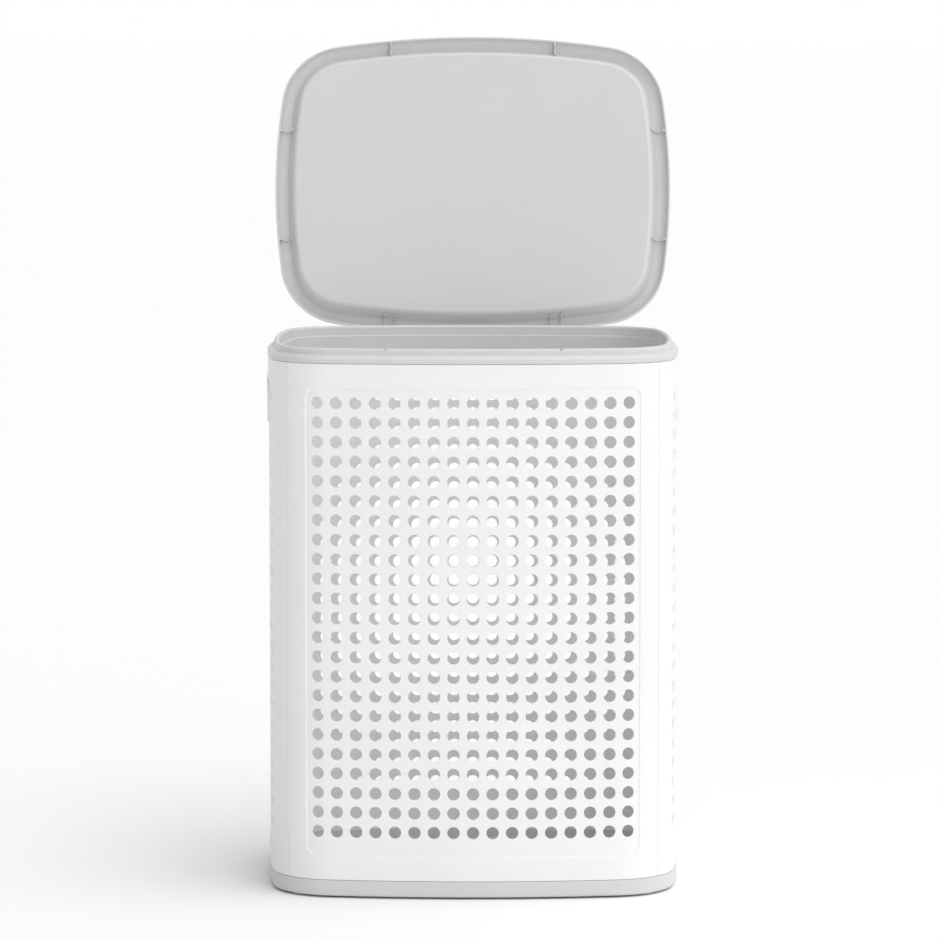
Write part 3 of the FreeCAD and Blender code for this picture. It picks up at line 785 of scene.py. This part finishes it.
def collar_shells():
    """Collar with a lip, two notches at the front and the two lugs of the hinges."""
    channel_top = collar_bottom + channel_depth
    channel_low = collar_bottom - channel_drop
    under = ledge_z - ledge_thickness
    skirt_inner = lip_inner + skirt_thickness
    lip_round = (lip_inner - lip_inset) / 2 - 0.05
    section = rounded([(0, collar_bottom, 0.5), (0, collar_bottom + collar_band_height, 0.5),
                       (*shoulder_break, 2.0), (lip_inset, shoulder_top, 0.7),
                       (lip_inset, lip_top, lip_round), (lip_inner, lip_top, lip_round),
                       (lip_inner, ledge_z, 0.7), (skirt_inner, ledge_z, 0.6),
                       (skirt_inner, skirt_low, 0.6), (lip_inner, skirt_low, 0.6),
                       (lip_inner, under, 0.5), (channel_back, under, 0.3),
                       (channel_back, channel_low, 0.5), (channel_inner, channel_low, 0.5),
                       (channel_inner, channel_top, 0.2), (band_wall, channel_top, 0.2),
                       (band_wall, collar_bottom, 0.5)])
    notch_bottom = lip_top - notch_depth
    # The stations fan out from the bow's centre, so a notch that is right at the lip is
    # measured a little further out on the outline.
    notch_x = pair_spacing / 2 * front_bow_radius / (front_bow_radius - (lip_inset + lip_inner) / 2)
    extra = []
    for side in (-1, 1):
        for out in (-notch_half - notch_wall, -notch_half, -notch_half / 2, notch_half / 2,
                    notch_half, notch_half + notch_wall):
            extra.append(side * notch_x + out)

    def notched(points, place):
        x = place[2] * math.cos(place[3])
        front = place[1] > 0 and place[2] == front_bow_radius
        if front and abs(abs(x) - notch_x) < notch_half + notch_wall / 2:
            return np.stack([points[:, 0], np.minimum(points[:, 1], notch_bottom)], axis=-1)
        return points

    shells = [sweep(section, places_round(extra), change=notched)]
    for side in (-1, 1):
        x = side * pair_spacing / 2
        root = rear_y(x, lug_root)
        top = hinge.z + lug_radius
        low = hinge.z - lug_radius
        lean = lid_open_angle - math.pi / 2
        rim = hinge.y - rear_y(abs(x) - lug_width / 2, 0) - stop_gap

        def under_rim(along, depth):
            height = rim - depth
            return (hinge.y + height * math.sin(lean) + along * math.cos(lean),
                    hinge.z + height * math.cos(lean) - along * math.sin(lean))

        outline = rounded([(root, collar_bottom, 0), (hinge.y - 2.0, collar_bottom, 1.0),
                           (hinge.y, low, 1.2), (hinge.y + 2.6, low, 2.2),
                           (*under_rim(stop_end, stop_thickness), 0.6),
                           (*under_rim(stop_end, 0), 0.6), (*under_rim(stop_start, 0), 0.6),
                           (root, top, 0)])
        shells.append(slab(outline, lug_width, across_x(x), [(hinge.y, hinge.z, bore_radius)], 0.3))
    return shells


def hinge_arm(x):
    """Ear of the lid that reaches down behind the collar to the hinge's axis."""
    root, surface = rear_y(x, lid_thickness / 2), rear_y(x, 0)
    near, far = hinge.y - ear_radius, hinge.y + ear_radius
    low, rounding = hinge.z - ear_radius, ear_radius - 0.05
    arm = rounded([(root, lid_rim_bottom, 0), (near, lid_rim_bottom - 0.3, 0.8),
                   (near, low, rounding), (far, low, rounding), (far, lid_rim_bottom, 3.0),
                   (surface, lid_under, 0.5), (root, lid_under, 0)])
    return slab(arm, ear_thickness, across_x(x), [(hinge.y, hinge.z, bore_radius)], rib_edge)


def rib_outline(seat, straddles=True):
    """Rib under the flange, as (inset, z, rounding). It dips inside the lip, and where it
    straddles the lip also outside it, down to the shoulder."""
    step = lip_inner + 0.6
    deep = seat - rib_drop
    top = lid_under + rib_overlap
    wall = lid_flange_width + (lid_under - deep) * lid_slope
    outside = [(rib_overlap, rib_low, 0.4), (lip_inset - 1.4, rib_low, 0.5),
               (lip_inset - 0.6, seat, 0.5)]
    start = outside if straddles else [(rib_overlap, seat, 0.4)]
    return [(rib_overlap, top, 0)] + start + [(step, seat, 0.5), (step + 2.0, deep, 0.8),
                                              (wall + rib_overlap, deep, 0),
                                              (lid_flange_width + rib_overlap, top, 0)]


def lid_shells():
    """Lid, drawn closed: its moulded shell, the ribs under it and the arms of the hinges."""
    wall_run = lid_thickness * math.hypot(1, lid_slope)
    upper_start = lid_flange_width + wall_run - lid_thickness * lid_slope
    upper_end = upper_start + (lid_top - plateau_top) * lid_slope
    section = rounded([
        (0, lid_rim_bottom, lid_tip), (0, lid_top, lid_edge_radius),
        (upper_start, lid_top, lid_step_radius), (upper_end, plateau_top, lid_step_radius),
        (plate_inset, plateau_top, 0), (plate_inset, plateau_under, 0),
        (lid_flange_width + lid_step_run, plateau_under, plateau_radius),
        (lid_flange_width, lid_under, lid_step_radius),
        (lid_thickness, lid_under, lid_edge_radius - lid_thickness),
        (lid_thickness, lid_rim_bottom, lid_tip)], step=math.radians(8))
    places = places_round()
    ring = sweep(section, places)
    at_plate = [i for i, p in enumerate(section) if abs(p[0] - plate_inset) < 1e-6]
    ring.faces = [f for f in ring.faces if sum(i % len(section) in at_plate for i in f) < 4]
    edge_loop = outline_loop(plate_inset, places)
    shells = [ring, crowned_plate(edge_loop, plateau_top, plate_dish, places),
              crowned_plate(edge_loop, plateau_under, plate_dish, places)]
    for side in (-1, 1):
        x = side * pair_spacing / 2
        front_rib = rib_outline(rib_seat - notch_depth)
        outline = rounded([(-rear_y(x, i), z, r) for i, z, r in front_rib])
        shells.append(slab(outline, rib_thickness, across_x(x), rounding=rib_edge))
        for end in (-1, 1):
            y = end * side_rib_place
            outline = rounded([(side * side_x(y, i), z, r) for i, z, r in rib_outline(rib_seat)])
            shells.append(slab(outline, rib_thickness, across_y(y), rounding=rib_edge))
            ear_x = x + end * ear_spacing / 2
            rear_rib = rib_outline(rib_seat, straddles=False)
            outline = rounded([(rear_y(ear_x, i), z, r) for i, z, r in rear_rib])
            shells.append(slab(outline, ear_thickness - 0.1, across_x(ear_x), rounding=rib_edge))
            shells.append(hinge_arm(ear_x))
    return shells


# ---- Materials ----
def plastic(name, colour, roughness, texture_depth, scuffs):
    """Satin moulded plastic: faint tone drift, fine spark-eroded texture, light scuffs."""
    material = bpy.data.materials.new(name)
    material.use_nodes = True
    nodes, links = material.node_tree.nodes, material.node_tree.links
    shader = nodes["Principled BSDF"]
    place = nodes.new("ShaderNodeTexCoord")

    def noise(scale, detail, stretch=(1, 1, 1)):
        mapping = nodes.new("ShaderNodeMapping")
        mapping.inputs["Scale"].default_value = stretch
        links.new(place.outputs["Object"], mapping.inputs["Vector"])
        texture = nodes.new("ShaderNodeTexNoise")
        texture.inputs["Scale"].default_value = scale
        texture.inputs["Detail"].default_value = detail
        links.new(mapping.outputs["Vector"], texture.inputs["Vector"])
        return texture.outputs["Fac"]

    def ramp(source, low, high, start, end):
        node = nodes.new("ShaderNodeMapRange")
        node.inputs["From Min"].default_value = low
        node.inputs["From Max"].default_value = high
        node.inputs["To Min"].default_value = start
        node.inputs["To Max"].default_value = end
        links.new(source, node.inputs["Value"])
        return node.outputs["Result"]

    def mix(fac, a, b):
        node = nodes.new("ShaderNodeMix")
        node.data_type = "RGBA"
        links.new(fac, node.inputs["Factor"])
        for socket, value in ((node.inputs["A"], a), (node.inputs["B"], b)):
            if isinstance(value, tuple):
                socket.default_value = (*value, 1)
            else:
                links.new(value, socket)
        return node.outputs["Result"]

    def shade(amount, warm=0.0):
        return tuple(max(0.0, c * amount + warm * w) for c, w in zip(colour, (1, 0.4, -1)))

    drift = ramp(noise(7.0, 3.0), 0.35, 0.65, 0.0, 1.0)
    base = mix(drift, shade(0.985, 0.002), shade(1.012, -0.002))
    speck = ramp(noise(420.0, 2.0), 0.68, 0.8, 0.0, 0.05)
    base = mix(speck, base, shade(0.8))
    scratch = ramp(noise(60.0, 6.0, (1.0, 1.0, 9.0)), 0.6, 0.78, 0.0, scuffs)
    base = mix(scratch, base, shade(0.93))
    links.new(base, shader.inputs["Base Color"])

    satin = nodes.new("ShaderNodeMath")
    satin.operation = "ADD"
    links.new(ramp(noise(35.0, 5.0), 0.3, 0.7, roughness - 0.05, roughness + 0.05), satin.inputs[0])
    links.new(ramp(scratch, 0.0, 1.0, 0.0, 0.22), satin.inputs[1])
    links.new(satin.outputs[0], shader.inputs["Roughness"])

    grain = nodes.new("ShaderNodeBump")
    grain.inputs["Strength"].default_value = texture_depth
    grain.inputs["Distance"].default_value = 0.0001
    links.new(noise(1900.0, 2.0), grain.inputs["Height"])
    wave = nodes.new("ShaderNodeBump")
    wave.inputs["Strength"].default_value = 0.25
    wave.inputs["Distance"].default_value = 0.0012
    links.new(noise(16.0, 1.0), wave.inputs["Height"])
    links.new(grain.outputs["Normal"], wave.inputs["Normal"])
    links.new(wave.outputs["Normal"], shader.inputs["Normal"])
    shader.inputs["IOR"].default_value = 1.49
    return material


def rubber(name, colour):
    """Matt rubber with a fine grain."""
    material = bpy.data.materials.new(name)
    material.use_nodes = True
    nodes, links = material.node_tree.nodes, material.node_tree.links
    shader = nodes["Principled BSDF"]
    place = nodes.new("ShaderNodeTexCoord")
    texture = nodes.new("ShaderNodeTexNoise")
    texture.inputs["Scale"].default_value = 900.0
    texture.inputs["Detail"].default_value = 4.0
    links.new(place.outputs["Object"], texture.inputs["Vector"])
    tone = nodes.new("ShaderNodeValToRGB")
    tone.color_ramp.elements[0].color = (*(c * 0.8 for c in colour), 1)
    tone.color_ramp.elements[1].color = (*(c * 1.15 for c in colour), 1)
    links.new(texture.outputs["Fac"], tone.inputs["Fac"])
    links.new(tone.outputs["Color"], shader.inputs["Base Color"])
    bump = nodes.new("ShaderNodeBump")
    bump.inputs["Strength"].default_value = 0.4
    bump.inputs["Distance"].default_value = 0.0002
    links.new(texture.outputs["Fac"], bump.inputs["Height"])
    links.new(bump.outputs["Normal"], shader.inputs["Normal"])
    shader.inputs["Roughness"].default_value = 0.75
    return material


white = plastic("white_polypropylene", (0.845, 0.845, 0.84), 0.42, 0.25, 0.5)
grey = plastic("light_grey_polypropylene", (0.63, 0.63, 0.63), 0.40, 0.25, 0.6)
pin_grey = plastic("pin_acetal", (0.62, 0.62, 0.62), 0.32, 0.1, 0.3)
foot_grey = rubber("foot_rubber", (0.36, 0.36, 0.37))

# ---- The pieces ----
half_turn = Matrix.Rotation(math.pi, 4, "Z")
swing = (Matrix.Translation(hinge * MM) @ Matrix.Rotation(-lid_open_angle, 4, "X")
         @ Matrix.Translation(-hinge * MM))

front_mesh = mesh_of("front_wall", front_wall())
rear_mesh = front_mesh.copy()
rear_mesh.transform(half_turn)
right_mesh = mesh_of("right_wall", side_wall())
left_mesh = right_mesh.copy()
left_mesh.transform(half_turn)
piece("front_wall", front_mesh, "front_panel", "hamper", white)
piece("rear_wall", rear_mesh, "rear_panel", "hamper", white)
piece("right_side_wall", right_mesh, "right_side_panel", "hamper", white)
piece("left_side_wall", left_mesh, "left_side_panel", "hamper", white)
piece("base", mesh_of("base", base_shells()), "base_tray", "hamper", grey)
piece("collar", mesh_of("collar", collar_shells()), "top_collar", "hamper", grey)
piece("hinged_lid", mesh_of("hinged_lid", lid_shells(), swing), "lid", "lid", grey)
for foot in foot_names:
    piece(foot + "_pad", mesh_of(foot + "_pad", [foot_shell(foot)]), foot, "hamper",
          foot_grey)
for pin in ("hinge_pin_left", "hinge_pin_right"):
    piece(pin + "_part", mesh_of(pin + "_part", [pin_shell(pin)]), pin, "hamper",
          pin_grey)


# ---- Floor, light and camera ----
def make_floor():
    """Pale floor that bends up into a backdrop a long way behind the hamper."""
    profile = [(-12.0, 0.0), (40.0, 0.0)]
    bend, centre_y = 12.0, 40.0
    for turn in np.radians(np.linspace(6, 90, 15)):
        profile.append((centre_y + bend * math.sin(turn), bend * (1 - math.cos(turn))))
    profile.append((centre_y + bend, 40.0))
    reach = 40.0
    points = [(side * reach, y, z) for y, z in profile for side in (-1, 1)]
    faces = [(2 * i, 2 * i + 1, 2 * i + 3, 2 * i + 2) for i in range(len(profile) - 1)]
    mesh = bpy.data.meshes.new("floor")
    mesh.from_pydata(points, [], faces)
    mesh.shade_smooth()
    floor = bpy.data.objects.new("floor", mesh)
    bpy.context.scene.collection.objects.link(floor)
    material = bpy.data.materials.new("pale_floor")
    material.use_nodes = True
    shader = material.node_tree.nodes["Principled BSDF"]
    shader.inputs["Base Color"].default_value = (0.93, 0.93, 0.93, 1)
    shader.inputs["Roughness"].default_value = 0.9
    shader.inputs["Specular IOR Level"].default_value = 0.1
    mesh.materials.append(material)


def area_light(name, place, aim, size, power):
    """Square softbox at a place, aimed at a point."""
    lamp = bpy.data.lights.new(name, "AREA")
    lamp.shape = "SQUARE"
    lamp.size = size
    lamp.energy = power
    obj = bpy.data.objects.new(name, lamp)
    obj.location = place
    obj.rotation_euler = (Vector(aim) - Vector(place)).to_track_quat("-Z", "Y").to_euler()
    bpy.context.scene.collection.objects.link(obj)


def sun_light(name, towards, energy, angle):
    """Distant light that comes from a direction, softened over an angle."""
    lamp = bpy.data.lights.new(name, "SUN")
    lamp.energy = energy
    lamp.angle = angle
    obj = bpy.data.objects.new(name, lamp)
    obj.rotation_euler = Vector(towards).to_track_quat("Z", "Y").to_euler()
    bpy.context.scene.collection.objects.link(obj)


def make_world():
    """Soft light from all round, stronger from the right than from the left."""
    world = bpy.data.worlds.new("studio")
    world.use_nodes = True
    nodes, links = world.node_tree.nodes, world.node_tree.links
    direction = nodes.new("ShaderNodeTexCoord")
    parts = nodes.new("ShaderNodeSeparateXYZ")
    strength = nodes.new("ShaderNodeMapRange")
    for name, value in (("From Min", -1.0), ("From Max", 1.0), ("To Min", 0.36), ("To Max", 1.20)):
        strength.inputs[name].default_value = value
    links.new(direction.outputs["Generated"], parts.inputs["Vector"])
    links.new(parts.outputs["X"], strength.inputs["Value"])
    links.new(strength.outputs["Result"], nodes["Background"].inputs["Strength"])
    nodes["Background"].inputs["Color"].default_value = (1, 1, 1, 1)
    bpy.context.scene.world = world


def make_camera():
    """Long lens, square-on to the front and a little above the rim."""
    camera = bpy.data.cameras.new("camera")
    camera.sensor_width = 36.0
    camera.lens = 202.4
    camera.clip_end = 200.0
    obj = bpy.data.objects.new("camera", camera)
    distance, height, across, tilt = 5.656, 1.029, -0.00315, 0.1043
    obj.location = (across, -distance, height)
    obj.rotation_euler = (math.pi / 2 - tilt, 0, 0)
    bpy.context.scene.collection.objects.link(obj)
    bpy.context.scene.camera = obj


make_floor()
area_light("softbox", (2.0, -4.0, 0.8), (0, 0, 0.6), 1.6, 22.0)
sun_light("ceiling", (0.25, -0.15, 1.0), 0.9, math.radians(40))
make_world()
bpy.context.scene.view_settings.view_transform = "Standard"
make_camera()
